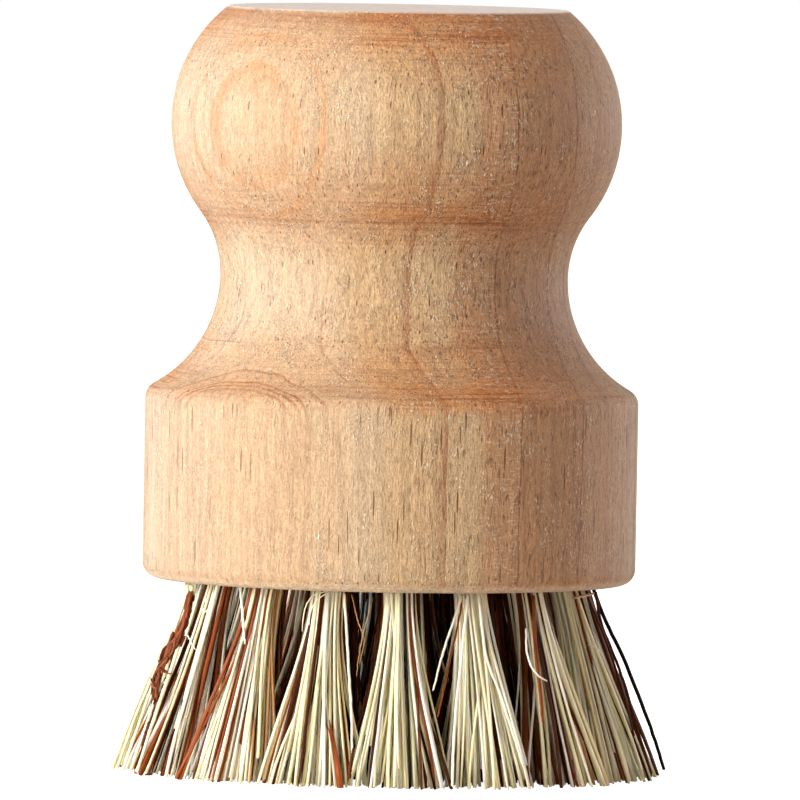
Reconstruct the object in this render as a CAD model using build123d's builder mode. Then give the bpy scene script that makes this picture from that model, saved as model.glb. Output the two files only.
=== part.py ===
from build123d import *
import os
from math import asin, atan2, cos, pi, radians, sin, sqrt

os.makedirs("parts", exist_ok=True)

# The brush stands on its bristles: the origin is the middle of the trimmed tips, +Z runs up
# through the handle, and the front of the brush faces -Y. Lengths are in millimetres.

# Turned handle, from the drilled underside to the flat end of the knob
bristle_length = 23.4
base_radius = 30.0
waist_radius = 21.15
waist_height = 37.0
lower_waist_round = 15.4
neck_rise = 18.6
knob_radius = 27.4
knob_round = 18.1
cap_rise = 14.1
shoulder_round = 2.0
underside_edge_round = 1.2

# Straight steps that the rounds of the turned outline are cut into
small_round_steps = 1
lower_waist_steps = 9
upper_waist_steps = 5
knob_steps = 14

# Blind holes for the tufts, drilled in rings and splayed outwards
hole_radius = 2.25
hole_depth = 10.0
outer_hole_inset = 7.7
outer_tufts = 16
middle_tufts = 10
inner_tufts = 5
outer_turn = 3.6
middle_turn = 21.0
inner_turn = 8.0

# Tufts: each is folded over its staple and fans out towards the trimmed tips
bristle_overhang = 3.5
tuft_tip_radius = 4.5
strand_radius = 0.42
strand_sides = 3
core_strands = 3
rim_strands = 7
core_share = 0.37
middle_ring_share = 2 / 3
inner_ring_share = 1 / 3
root_sides = 6
root_margin = 0.1

# Wire staples
wire_width = 0.6
fold_height = 1.6
leg_bite = 2.4

# Fits
root_clearance = 0.05
staple_clearance = 0.03
cut_overrun = 2.0

# Levels and radii worked out from the sizes above
underside = bristle_length
waist_level = underside + waist_height
knob_level = waist_level + neck_rise
top = knob_level + cap_rise
edge_centre = base_radius - underside_edge_round
edge_level = underside + underside_edge_round
shoulder_centre = base_radius - shoulder_round
lower_waist_centre = waist_radius + lower_waist_round
shoulder_reach = lower_waist_centre - shoulder_centre
shoulder_drop = sqrt((lower_waist_round + shoulder_round) ** 2 - shoulder_reach**2)
shoulder_level = waist_level - shoulder_drop
knob_centre = knob_radius - knob_round
neck_reach = waist_radius - knob_centre
upper_waist_round = (neck_reach**2 + neck_rise**2 - knob_round**2) / (2 * (knob_round - neck_reach))
upper_waist_centre = waist_radius + upper_waist_round
outer_hole_ring = base_radius - outer_hole_inset
sweep_radius = base_radius + bristle_overhang
root_radius = hole_radius - root_clearance
tuft_root_radius = root_radius * cos(pi / root_sides) - root_margin - strand_radius
outer_tip_ring = sweep_radius - tuft_tip_radius - strand_radius

# Angles at which neighbouring rounds of the outline run into each other
shoulder_turn = atan2(shoulder_drop, shoulder_reach)
neck_turn = atan2(neck_rise, upper_waist_centre - knob_centre)
cap_turn = asin(cap_rise / knob_round)
top_radius = knob_centre + knob_round * cos(cap_turn)

# Rounds of the outline, upwards: centre radius, level, radius, first angle, last angle, steps
ROUNDS = [
    (edge_centre, edge_level, underside_edge_round, -pi / 2, 0, small_round_steps),
    (shoulder_centre, shoulder_level, shoulder_round, 0, shoulder_turn, small_round_steps),
    (lower_waist_centre, waist_level, lower_waist_round, pi + shoulder_turn, pi, lower_waist_steps),
    (upper_waist_centre, waist_level, upper_waist_round, pi, pi - neck_turn, upper_waist_steps),
    (knob_centre, knob_level, knob_round, -neck_turn, cap_turn, knob_steps),
]

# Each ring of tufts: name, count, turn of its first tuft, share of the outer ring's radius
RINGS = [
    ("outer", outer_tufts, outer_turn, 1.0),
    ("middle", middle_tufts, middle_turn, middle_ring_share),
    ("inner", inner_tufts, inner_turn, inner_ring_share),
    ("centre", 1, 0, 0),
]


def round_points(centre, level, radius, start, end, steps):
    """Ends of the equal straight steps along one round of the outline."""
    turns = [start + (end - start) * step / steps for step in range(steps + 1)]
    return [(centre + radius * cos(turn), level + radius * sin(turn)) for turn in turns]


def ring_spins(count, turn):
    """Turns about the brush's axis that place a ring's copies."""
    return [Rotation(0, 0, turn + 360 * index / count) for index in range(count)]


def ring_copies(solid, count, turn):
    """Copies of a solid that is modelled on +X, one at each place of its ring."""
    return [spin * solid for spin in ring_spins(count, turn)]


def ring_lean(ring_share):
    """Angle between a ring's holes and the brush's axis."""
    return atan2(ring_share * (outer_tip_ring - outer_hole_ring), bristle_length)


def mouth_plane(ring_share):
    """Plane across the mouth of the hole on +X, facing out of the wood along the hole."""
    lean = ring_lean(ring_share)
    mouth = (ring_share * outer_hole_ring, 0, underside)
    return Plane(origin=mouth, x_dir=(0, 1, 0), z_dir=(sin(lean), 0, -cos(lean)))


def staple_plane(ring_share):
    """Plane through the same hole's axis, with its Y running into the wood."""
    lean = ring_lean(ring_share)
    mouth = (ring_share * outer_hole_ring, 0, underside)
    return Plane(origin=mouth, x_dir=(0, 1, 0), z_dir=(cos(lean), 0, sin(lean)))


def staple_solid(ring_share, clearance):
    """A U of square wire: its crown crosses the hole, its legs point into the wood."""
    span = 2 * (root_radius - staple_clearance)
    width = wire_width + 2 * clearance
    crown_depth = hole_depth - fold_height
    leg_length = fold_height + leg_bite + wire_width / 2 + clearance
    leg_place = (span - wire_width) / 2
    with BuildPart() as staple:
        with BuildSketch(staple_plane(ring_share)):
            with Locations((0, crown_depth)):
                Rectangle(span + 2 * clearance, width)
            with Locations((-leg_place, crown_depth), (leg_place, crown_depth)):
                Rectangle(width, leg_length, align=(Align.CENTER, Align.MIN))
        extrude(amount=width / 2, both=True)
    return staple.part


def all_staples(clearance):
    """Every staple of the brush, grown by a clearance, as a cutter for the wood."""
    cutters = []
    for ring_name, count, turn, ring_share in RINGS:
        cutters += ring_copies(staple_solid(ring_share, clearance), count, turn)
    return cutters


def strand_places(fan_radius):
    """Places of a tuft's strands about its middle: a core group inside a rim group."""
    places = []
    for count, radius in ((rim_strands, fan_radius), (core_strands, core_share * fan_radius)):
        for index in range(count):
            angle = radians(360 * index / count)
            places.append((radius * cos(angle), radius * sin(angle)))
    return places


def strand_levels(ring_share):
    """Height, middle and fan radius of a tuft where it leaves the wood and at its tips."""
    root = (underside, ring_share * outer_hole_ring, tuft_root_radius)
    tips = (0, ring_share * outer_tip_ring, tuft_tip_radius)
    return root, tips


def tuft_solid(ring_share):
    """A tuft on +X: its root fills the hole and is folded over the staple, its strands fan out."""
    mouth = mouth_plane(ring_share)
    with BuildPart() as tuft:
        with BuildSketch(mouth.offset(cut_overrun)):
            RegularPolygon(root_radius, root_sides)
        extrude(amount=root_clearance - hole_depth - cut_overrun)
        split(bisect_by=Plane.XY.offset(underside), keep=Keep.TOP)
        add(staple_solid(ring_share, staple_clearance), mode=Mode.SUBTRACT)
        strands = []
        for strand in range(rim_strands + core_strands):
            sections = []
            for height, middle, fan_radius in strand_levels(ring_share):
                along, across = strand_places(fan_radius)[strand]
                with BuildSketch(Plane((middle + along, across, height)), mode=Mode.PRIVATE) as section:
                    RegularPolygon(strand_radius, strand_sides)
                sections.append(section.sketch)
            strands.append(loft(sections, ruled=True, mode=Mode.PRIVATE))
        add(strands)
    return tuft.part


# Handle: one turned piece, drilled for the tufts and pierced by the staples' legs
with BuildPart() as handle:
    with BuildSketch(Plane.XZ):
        with BuildLine():
            for outline_round in ROUNDS:
                Polyline(*round_points(*outline_round))
            Line((base_radius, edge_level), (base_radius, shoulder_level))
            Polyline((top_radius, top), (0, top), (0, underside), (edge_centre, underside))
        make_face()
    revolve(axis=Axis.Z)
    for ring_name, count, turn, ring_share in RINGS:
        with Locations(*[spin * mouth_plane(ring_share).location for spin in ring_spins(count, turn)]):
            Hole(hole_radius, hole_depth)
    add(all_staples(staple_clearance), mode=Mode.SUBTRACT)
handle.part.label = "handle"
export_step(handle.part, "parts/handle.step")

# Staples: one node to a ring, each U in the bottom of its own hole
for ring_name, count, turn, ring_share in RINGS:
    with BuildPart() as staples:
        add(ring_copies(staple_solid(ring_share, 0), count, turn))
    staples.part.label = f"staples_{ring_name}"
    export_step(staples.part, f"parts/{staples.part.label}.step")

# Tufts: one node each
for ring_name, count, turn, ring_share in RINGS:
    for number, solid in enumerate(ring_copies(tuft_solid(ring_share), count, turn), start=1):
        with BuildPart() as tuft:
            add(solid)
        tuft.part.label = f"tuft_{ring_name}_{number:02d}"
        export_step(tuft.part, f"parts/{tuft.part.label}.step")
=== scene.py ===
"""Palm brush of turned wood and union fibre: its looks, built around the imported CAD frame."""

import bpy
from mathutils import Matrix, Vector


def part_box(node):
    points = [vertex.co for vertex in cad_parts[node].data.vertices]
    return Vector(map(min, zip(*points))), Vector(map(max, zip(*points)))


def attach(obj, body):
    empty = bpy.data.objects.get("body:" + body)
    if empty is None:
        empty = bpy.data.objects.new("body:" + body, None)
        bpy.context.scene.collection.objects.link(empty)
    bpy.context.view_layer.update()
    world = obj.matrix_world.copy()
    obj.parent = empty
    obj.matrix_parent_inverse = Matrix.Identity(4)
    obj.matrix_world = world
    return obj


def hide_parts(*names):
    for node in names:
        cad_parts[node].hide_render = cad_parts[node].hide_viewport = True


bl_info = {
    "name": "Palm Brush",
    "version": (1, 0, 0),
    "blender": (4, 5, 0),
    "location": "3D View > Sidebar > Palm Brush",
    "description": "Turns the handle, ties the fibre tufts and lights the brush on a pale floor",
    "category": "Object",
}

from math import asin, atan2, cos, pi, radians, sin, sqrt

import bpy
import numpy as np
from bpy.props import FloatProperty, FloatVectorProperty, IntProperty, PointerProperty
from mathutils import Matrix, Vector

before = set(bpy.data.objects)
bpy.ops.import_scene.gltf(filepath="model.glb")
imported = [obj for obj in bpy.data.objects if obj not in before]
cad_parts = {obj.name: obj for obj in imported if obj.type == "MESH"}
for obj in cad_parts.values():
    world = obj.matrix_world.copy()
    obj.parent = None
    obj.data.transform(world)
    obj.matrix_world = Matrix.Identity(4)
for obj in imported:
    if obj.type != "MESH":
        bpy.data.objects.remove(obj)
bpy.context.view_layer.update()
handle_low, handle_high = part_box("handle")
TUFT_NODES = sorted(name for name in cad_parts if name.startswith("tuft_"))
STAPLE_NODES = sorted(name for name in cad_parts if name.startswith("staples_"))
MM = 0.001


def linear(hex_colour):
    """Linear red, green and blue of an sRGB hex colour."""
    values = np.array([int(hex_colour[i : i + 2], 16) for i in (1, 3, 5)]) / 255
    return tuple(np.where(values <= 0.04045, values / 12.92, ((values + 0.055) / 1.055) ** 2.4))


def length(name, description, default):
    """A length property, in metres."""
    return FloatProperty(name=name, description=description, default=default, unit="LENGTH", precision=5)


def colour(name, description, default):
    """A colour property, given as an sRGB hex value."""
    return FloatVectorProperty(
        name=name, description=description, default=linear(default), subtype="COLOR", min=0, max=1
    )


def power(name, description, default):
    """A lamp's power property, in watts."""
    return FloatProperty(name=name, description=description, default=default, unit="POWER", min=0)


# Sizes and colours that a user would change


class HandleSizes(bpy.types.PropertyGroup):
    """Sizes of the turned handle"""

    underside: length("Underside", "Height of the drilled underside above the tips", handle_low.z)
    top: length("Top", "Height of the flat end of the knob", handle_high.z)
    base_radius: length("Base radius", "Radius of the bristle block", handle_high.x)
    waist_radius: length("Waist radius", "Radius at the narrowest place", 21.15 * MM)
    waist_height: length("Waist height", "Height of the waist above the underside", 37.0 * MM)
    lower_waist_round: length("Lower waist round", "Radius of the hollow from shoulder to waist", 15.4 * MM)
    neck_rise: length("Neck rise", "Height of the knob's widest place above the waist", 18.6 * MM)
    knob_radius: length("Knob radius", "Radius at the knob's widest place", 27.4 * MM)
    knob_round: length("Knob round", "Radius of the knob's outline", 18.1 * MM)
    shoulder_round: length("Shoulder round", "Radius of the round above the block's wall", 2.0 * MM)
    underside_edge_round: length("Underside edge", "Radius of the round below the block's wall", 1.9 * MM)
    top_edge_round: length("Top edge", "Radius of the broken edge of the flat end", 0.5 * MM)
    hole_radius: length("Hole radius", "Radius of a tuft's hole", 2.25 * MM)
    hole_depth: length("Hole depth", "Depth of a tuft's hole", 10.0 * MM)


class TuftSizes(bpy.types.PropertyGroup):
    """Sizes of the fibre tufts"""

    fibres: IntProperty(name="Fibres", description="Folded fibres in a tuft, each with two ends", default=52)
    root_radius: length("Root radius", "Radius of the packed fibres in the hole", 2.0 * MM)
    fan_radius: length("Fan radius", "Reach of a tuft at its tips, away from the brush's axis", 4.9 * MM)
    fan_breadth: length("Fan breadth", "Reach of a tuft at its tips, round the brush", 6.0 * MM)
    crown_depth: length("Crown depth", "Depth in the hole at which the fibres fold over the staple", 8.8 * MM)
    ragged: length("Ragged tips", "Typical unevenness of the trimmed tips", 0.35 * MM)
    seed: IntProperty(name="Seed", description="Seed of the fibres' random draws", default=11)


class WoodLook(bpy.types.PropertyGroup):
    """Colours of the bare turned wood, with a painted highlight for the lower edge and a painted reflection
    for the flat end
    """

    pale: colour("Pale wood", "Wood between the innermost growth rings", "#b9a286")
    honey: colour("Honey wood", "Wood of the next growth rings", "#b79d7a")
    tan: colour("Tan wood", "Wood of the middle growth rings", "#bfa683")
    amber: colour("Amber wood", "Darker wood on the right of the front", "#b99371")
    pink: colour("Pink wood", "Wood of the outer growth rings", "#b28a66")
    ring: colour("Ring line", "Thin late wood at the end of each ring", "#7a3d1f")
    end_grain: colour("End grain", "Tint where the turning cuts across the fibres", "#b97639")
    pore: colour("Pore", "Open vessels", "#6a3716")
    # Torn grain colour, also used for the pale nicks, whose lit side is partly a painted highlight, and for
    # the painted highlight along the lower edge, which is not wear
    torn_grain_and_painted_highlight: colour("Torn grain", "Raised pale nicks, and the worn lower edge", "#f2e2cc")
    # Painted reflection: the flat end's pale colour stands in for the white surroundings reflected at a
    # grazing angle
    burnished_painted_reflection: colour("Burnished end", "Flat end of the knob", "#dccdc2")


class FibreLook(bpy.types.PropertyGroup):
    """Colours of the union fibre"""

    cream: colour("Cream", "Tampico fibre", "#f8edc6")
    white: colour("White", "Bleached fibre", "#fbf5e4")
    brown: colour("Brown", "Bassine leaf fibre", "#803f18")
    bark: colour("Bark", "Dark leaf-base fibre", "#4e2611")
    husk: colour("Husk", "Ragged strip of leaf base", "#64311b")
    black: colour("Black", "Dark piassava fibre", "#140d0c")
    tan: colour("Tan", "Coir-coloured fibre", "#c79460")


class StageLook(bpy.types.PropertyGroup):
    """Lamps and camera"""

    key_power: power("Key power", "Power of the large soft lamp on the left", 9.6)
    rim_power: power("Rim power", "Power of the soft lamp behind on the right", 2.7)
    edge_power: power("Edge power", "Power of the soft lamp behind on the left", 4.3)
    top_power: power("Top power", "Power of the soft lamp overhead", 2.5)
    sky_strength: FloatProperty(name="Sky strength", description="Light from all around", default=0.31)
    camera_distance: length("Camera distance", "Distance from the brush's axis", 2.4)
    camera_height: length("Camera height", "Height above the tips", 0.150)
    field_width: length("Field width", "Width of the view at the brush's axis", 0.09732)
    aim_across: length("Aim across", "Right of the brush's axis, at the middle of the view", 0.00099)
    aim_height: length("Aim height", "Height at the middle of the view", 0.0454)
    roll: FloatProperty(
        name="Camera roll", description="Turn of the camera about its view", default=radians(1.03),
        subtype="ANGLE",
    )


class BrushSettings(bpy.types.PropertyGroup):
    """All settings of the palm brush"""

    handle: PointerProperty(type=HandleSizes)
    tufts: PointerProperty(type=TuftSizes)
    wood: PointerProperty(type=WoodLook)
    fibre: PointerProperty(type=FibreLook)
    stage: PointerProperty(type=StageLook)


# Shared mesh and node helpers


def mesh_object(name, points, faces, material):
    """A finished piece: smooth faces, its place in its mesh, and its object at the origin."""
    mesh = bpy.data.meshes.new(name)
    mesh.from_pydata(points, [], faces)
    mesh.polygons.foreach_set("use_smooth", np.ones(len(faces), bool))
    mesh.materials.append(material)
    piece = bpy.data.objects.new(name, mesh)
    bpy.context.scene.collection.objects.link(piece)
    return piece


def add_node(tree, kind, inputs=None, stops=None, **settings):
    """Adds a shader node of a kind with its settings. An input is a value, a socket, or a node that is linked
    by its first output, or by its colour output if it is a Mix node."""
    node = tree.nodes.new("ShaderNode" + kind)
    for name, value in settings.items():
        setattr(node, name, value)
    for key, value in (inputs or {}).items():
        if isinstance(value, bpy.types.Node):
            value = value.outputs[2 if value.bl_idname == "ShaderNodeMix" else 0]
        if isinstance(value, bpy.types.NodeSocket):
            tree.links.new(value, node.inputs[key])
        else:
            node.inputs[key].default_value = value
    if stops:
        elements = node.color_ramp.elements
        while len(elements) < len(stops):
            elements.new(1.0)
        for element, (position, shade) in zip(elements, sorted(stops)):
            element.position = position
            element.color = (*shade, 1) if hasattr(shade, "__len__") else (shade, shade, shade, 1)
    return node


def emptied_tree(owner):
    """Node tree of a new material or world, without the nodes that it starts with."""
    owner.use_nodes = True
    owner.node_tree.nodes.clear()
    return owner.node_tree


def new_material(name):
    """A node material, its tree and its Principled shader, which is linked to its output."""
    material = bpy.data.materials.new(name)
    tree = emptied_tree(material)
    shader = add_node(tree, "BsdfPrincipled")
    add_node(tree, "OutputMaterial", {"Surface": shader})
    return material, tree, shader


# Materials


def ramp_stops(stops, first, last):
    """Stops of a colour ramp that runs from its first to its last millimetre."""
    return [((at - first) / (last - first), tone) for at, tone in stops]


def line_stops(lines):
    """Stops of thin lines, each given as its place, the width of its soft side and its depth. A line is three
    quarters as deep at 0.35 of its soft side, and fades within 0.1 mm past its place."""
    stops = []
    for at, soft, depth in lines:
        stops += [(at - soft, 0), (at - soft * 0.35, depth * 0.75), (at, depth), (at + 0.1, 0)]
    return stops


def turned_rubberwood(look):
    """Bare rubberwood, turned and sanded but not oiled: a pale tan ground with thin reddish ring lines,
    short dark open pores along the grain, and an orange tint where the turning cuts the fibres across."""
    material, tree, shader = new_material("turned_rubberwood")
    place = add_node(tree, "TexCoord")
    mm = add_node(tree, "VectorMath", {0: place.outputs["Object"], "Scale": 1000.0}, operation="SCALE")
    part = {"height": add_node(tree, "SeparateXYZ", {0: mm}).outputs["Z"]}

    # Noise: its cells to a millimetre, across, across and along the grain, its detail and its shift, then the
    # two levels that are spread to the two values after them. Real wood fibres are about 0.02 mm wide, so
    # fine, nap, nicks and specks are drawn about ten times as coarse, or the render wouldn't show them.
    for name, scale, detail, shift, low, high, least, most in (
        ("drift", (0.035, 0.035, 0.028), 2, 0, 0.3, 0.7, -0.3, 0.3),
        ("jitter", (0.35, 0.35, 0.10), 2, 1, 0.3, 0.7, -0.22, 0.22),
        ("rise", (0.10, 0.10, 0.20), 2, 2, 0.3, 0.7, -0.5, 0.5),
        ("wobble", (0.08, 0.08, 0.05), 2, 3, 0.3, 0.7, -0.12, 0.12),
        ("patch", (0.09, 0.09, 0.5), 3, 5, 0.36, 0.62, 0.6, 1.0),
        ("tool_mask", (0.14, 0.14, 1.6), 2, 7, 0.40, 0.58, 0.0, 1.0),
        ("line_fade", (0.40, 0.40, 0.13), 3, 8, 0.34, 0.58, 0.55, 1.0),
        ("fine_marks", (0.07, 0.07, 4.0), 1, 4, 0.50, 0.62, 0.0, 1.0),
        ("red_streak", (2.2, 2.2, 0.16), 3, 9, 0.50, 0.66, 0.0, 1.0),
        ("nicks", (4.4, 4.4, 2.0), 1, 11, 0.60, 0.63, 0.0, 1.0),
        ("nick_relief", (4.4, 4.4, 2.0), 1, 11, 0.57, 0.68, 0.0, 1.0),
        ("nick_patch", (0.28, 0.28, 0.18), 2, 12, 0.46, 0.60, 0.12, 1.0),
        ("specks", (3.4, 3.4, 0.7), 1, 13, 0.63, 0.66, 0.0, 1.0),
        ("mottle", (3.2, 3.2, 1.3), 2, 19, 0.48, 0.64, 0.0, 1.0),
        ("eye_fade", (0.13, 0.13, 0.11), 1, 23, 0.42, 0.58, 0.15, 1.0),
        ("hatch", (0.8, 0.8, 4.8), 1, 14, 0.60, 0.64, 0.0, 1.0),
        ("streaks", (1.5, 1.5, 0.07), 3, 15, 0.35, 0.65, 0.84, 1.11),
        ("fine", (5.2, 5.2, 0.9), 1, 16, 0.36, 0.64, 0.885, 1.12),
        ("nap", (4.4, 4.4, 3.2), 1, 17, 0.36, 0.64, 0.885, 1.12),
        ("marks", (0.12, 0.12, 2.7), 1, 18, 0.35, 0.65, 0.985, 1.015),
    ):
        shifts = (shift, 2 * shift, 3 * shift)
        spot = add_node(tree, "Mapping", {"Vector": mm, "Scale": scale, "Location": shifts})
        raw = add_node(tree, "TexNoise", {"Vector": spot, "Scale": 1.0, "Detail": detail, "Roughness": 0.6})
        part[name] = add_node(tree, "MapRange", {0: raw, 1: low, 2: high, 3: least, 4: most})

    # Growth rings: cylinders about a pith that lies outside the block, 58 mm off, to the left of the front
    flat = add_node(tree, "VectorMath", {0: mm, 1: (1, 1, 0)}, operation="MULTIPLY")
    from_pith = add_node(tree, "VectorMath", {0: flat, 1: (-38.0, -43.8, 0)}, operation="DISTANCE")
    part["from_pith"] = from_pith.outputs["Value"]

    # Ground colours: those of the panel, and three that lie between them
    pale, honey, tan, amber, pink = (
        tuple(tone) for tone in (look.pale, look.honey, look.tan, look.amber, look.pink)
    )
    warm = tuple(np.array(pale) * (0.97, 0.89, 0.82))
    mild = tuple(np.array(pale) * (0.98, 0.94, 0.90))
    deep = tuple(np.array(pink) * (0.94, 0.88, 0.80))
    # Ramps: what is read, its first and last millimetre, and the stops in millimetres
    leans = (
        # How far the middle rings lean towards the pith at each height, and which rings lean
        ("lean", "height", 23.0, 93.2, (
            (23.4, 0.83), (43, 0.8), (47, 0.68), (49.5, 0.35), (52.6, 0), (55, 0.25), (59.6, 0.38),
            (67.4, 0.38), (73.7, 0.6), (80, 0.7), (86.2, 0.73), (88.5, 0.56), (91.6, 0.16), (93.1, 0))),
        ("leaning", "from_pith", 30.0, 60.0, ((38, 0), (44, 1), (48, 1), (54.5, 0))),
        # The same for the innermost rings, which show as arches on the shoulder
        ("arch_lean", "height", 42.0, 62.0, (
            (43, 0), (44.5, 0.15), (46, 0.45), (48, 0.75), (50, 1), (52, 1), (56, 0.5), (60, 0))),
    )
    ramps = (
        ("ground", "ring", 26.0, 96.0, (
            (27, warm), (31.9, warm), (32.6, mild), (35, mild), (36.5, pale), (38, pale), (41, honey),
            (46.4, honey), (47.4, tan), (50.5, tan), (52.5, amber), (56.5, amber), (59, pink), (62.5, pink),
            (64, deep), (65.8, deep), (66.6, pink), (70, pink), (73, amber), (78, honey), (86, tan),
            (95, honey))),
        ("eye_lines", "ring", 30.0, 38.0, line_stops((
            (32.3, 1.2, 0.6), (34.45, 0.8, 0.55), (36.6, 0.4, 0.3)))),
        ("arch_lines", "arch_ring", 29.0, 41.0, line_stops((
            (30.9, 0.4, 0.7), (31.7, 0.4, 0.9), (32.35, 0.3, 1), (34.15, 0.35, 0.9), (38.6, 0.25, 0.5)))),
        ("front_lines", "ring", 40.0, 54.0, line_stops((
            (41.6, 0.5, 0.2), (44.2, 0.5, 0.24), (46.9, 0.9, 0.75), (48.3, 0.3, 0.3), (52.0, 0.4, 0.2)))),
        ("right_lines", "ring", 56.0, 67.0, line_stops((
            (56.75, 0.25, 1), (58.9, 0.3, 0.25), (61.5, 0.5, 0.35), (63.2, 0.3, 0.3), (65.85, 0.25, 1)))),
        ("back_lines", "ring", 68.0, 96.0, line_stops((
            (70.5, 0.8, 0.4), (74.2, 0.5, 0.3), (78.6, 0.9, 0.6), (82.0, 0.5, 0.3), (87.4, 0.9, 0.7)))),
        # End grain: where the outline runs across the fibres
        ("across", "rise_height", 23.0, 94.0, (
            (23.2, 0.3), (25.5, 0.04), (44.6, 0.05), (45.7, 0.5), (46.7, 0.85), (48.0, 1), (50.2, 0.55),
            (52.6, 0.4), (54.0, 0.2), (58, 0.08), (63, 0.05), (66.0, 0.35), (67.6, 0.8), (69.2, 0.7),
            (72, 0.45), (76, 0.15), (83, 0.05), (87, 0.4), (90.0, 0.95), (92.85, 1), (93, 0.3))),
        ("grain_turn", "ring", 26.0, 96.0, (
            (28, 0.3), (36, 0.4), (42, 0.75), (47, 1), (56.5, 1), (58, 0.6), (64, 0.4), (66.3, 0))),
        # Fine lines left by the tool, darkest where they cut end grain, the tool line in the crease and the
        # stained cap, and painted shade under the knob
        ("shoulder_tool", "wobble_height", 44.0, 54.0, line_stops((
            (46.25, 0.12, 0.5), (46.9, 0.3, 1), (47.5, 0.12, 0.6), (48.05, 0.12, 0.9), (48.75, 0.12, 0.5),
            (49.4, 0.12, 0.7), (52.75, 0.12, 0.9)))),
        ("neck_tool", "wobble_height", 63.0, 71.0, line_stops((
            (66.9, 0.15, 0.3), (67.8, 0.4, 0.8), (68.7, 0.15, 0.3)))),
        # Painted shade: the neck under the knob is darkened where it faces down and gets less light
        ("painted_neck_shade", "rise_height", 60.0, 80.0, (
            (64.5, 0), (66.5, 0.15), (71.5, 0.17), (75, 0.08), (78, 0))),
        ("cap_tool", "wobble_height", 88.0, 94.0, (
            (90.3, 0), (91.3, 0.4), (92.0, 0.5), (92.7, 0.5), (92.9, 0))),
        ("tool_reach", "ring", 26.0, 96.0, (
            (30, 0.15), (37, 0.55), (46, 1), (57, 0.9), (60, 0.4), (80, 0.4))),
        # Redder streaks thicken along the ring lines; pale nicks and dark specks lie where the grain is torn.
        # Specks and mottle grow stronger towards the right, as painted relief shade where the key light
        # grazes the surface
        ("red_at", "ring", 26.0, 96.0, (
            (27, 0.08), (40, 0.10), (44, 0.3), (46.5, 0.7), (47.2, 0.25), (52, 0.15), (56, 0.5), (57.5, 0.7),
            (60, 0.4), (64, 0.5), (66, 0.7), (68, 0.3), (80, 0.3))),
        ("nick_at", "ring", 26.0, 96.0, (
            (28, 0.35), (32, 0.35), (33, 0.8), (39, 0.7), (41, 0.55), (46, 0.8), (47.5, 1), (56, 1),
            (57.5, 0.75), (70, 0.6))),
        ("speck_at", "ring", 26.0, 96.0, (
            (28, 0.2), (38, 0.3), (44, 0.6), (50, 0.9), (57, 1), (70, 0.7), (90, 0.5))),
        ("pore_at", "ring", 26.0, 96.0, ((30, 0.8), (38, 0.85), (42, 0.9), (47, 1), (96, 1))),
        ("mottle_at", "ring", 26.0, 96.0, ((40, 0.1), (46, 0.4), (52, 0.6), (57, 1), (66, 0.8), (80, 0.6))),
        ("hatch_at", "ring", 46.0, 60.0, ((48, 0), (52, 0.7), (56.4, 1), (57, 0))),
    )

    for name, source, first, last, stops in leans:
        share = add_node(tree, "MapRange", {0: part[source], 1: first, 2: last})
        part[name] = add_node(tree, "ValToRGB", {0: share}, stops=ramp_stops(stops, first, last))
    # Growth ring at a spot, in millimetres from the pith: its distance, moved by the lean and by the noise
    lean = add_node(tree, "MapRange", {0: part["lean"], 1: 0, 2: 1, 3: 2.2, 4: -0.8})
    lean = add_node(tree, "Math", {0: lean, 1: part["leaning"]}, operation="MULTIPLY")
    part["ring"] = part["from_pith"]
    for shift in (lean, part["drift"], part["jitter"]):
        part["ring"] = add_node(tree, "Math", {0: part["ring"], 1: shift}, operation="ADD")
    arch_lean = add_node(tree, "Math", {0: part["arch_lean"], 1: 2.0}, operation="MULTIPLY")
    for name, base, shift in (
        ("rise_height", "height", part["rise"]), ("wobble_height", "height", part["wobble"]),
        ("arch_ring", "ring", arch_lean),
    ):
        part[name] = add_node(tree, "Math", {0: part[base], 1: shift}, operation="ADD")
    for name, source, first, last, stops in ramps:
        share = add_node(tree, "MapRange", {0: part[source], 1: first, 2: last})
        part[name] = add_node(tree, "ValToRGB", {0: share}, stops=ramp_stops(stops, first, last))

    # Open pores: spindles along the grain, as large as real vessels cut lengthwise, in two sizes. Each is
    # given as width and run of its cell in millimetres, and fills a tenth of the cell about its middle.
    for name, width, run, shift in (("large", 0.8, 15.0, 0), ("thin", 0.58, 18.0, 7)):
        scale = (1 / width, 1 / width, 1 / run)
        spot = add_node(tree, "Mapping", {"Vector": mm, "Scale": scale, "Location": (shift, shift, shift)})
        cells = add_node(tree, "TexVoronoi", {"Vector": spot, "Scale": 1.0})
        part[name] = add_node(tree, "MapRange", {0: cells, 1: 0.09, 2: 0.115, 3: 1.0, 4: 0.0})
    # Places by height: knob and base for the eye's and the arches' lines, the lower edge with its painted
    # highlight, and the burnished flat end with its painted reflection
    for name, first, last, least, most in (
        ("upper", 58.0, 62.0, 0.0, 1.0), ("lower", 58.0, 62.0, 1.0, 0.0), ("shoulder", 44.4, 46.2, 0.15, 1.0),
        ("painted_edge_highlight", 23.9, 24.5, 1.0, 0.0), ("burnished_painted_reflection", 92.9, 93.0, 0.0, 1.0),
    ):
        part[name] = add_node(tree, "MapRange", {0: part["height"], 1: first, 2: last, 3: least, 4: most})
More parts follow.
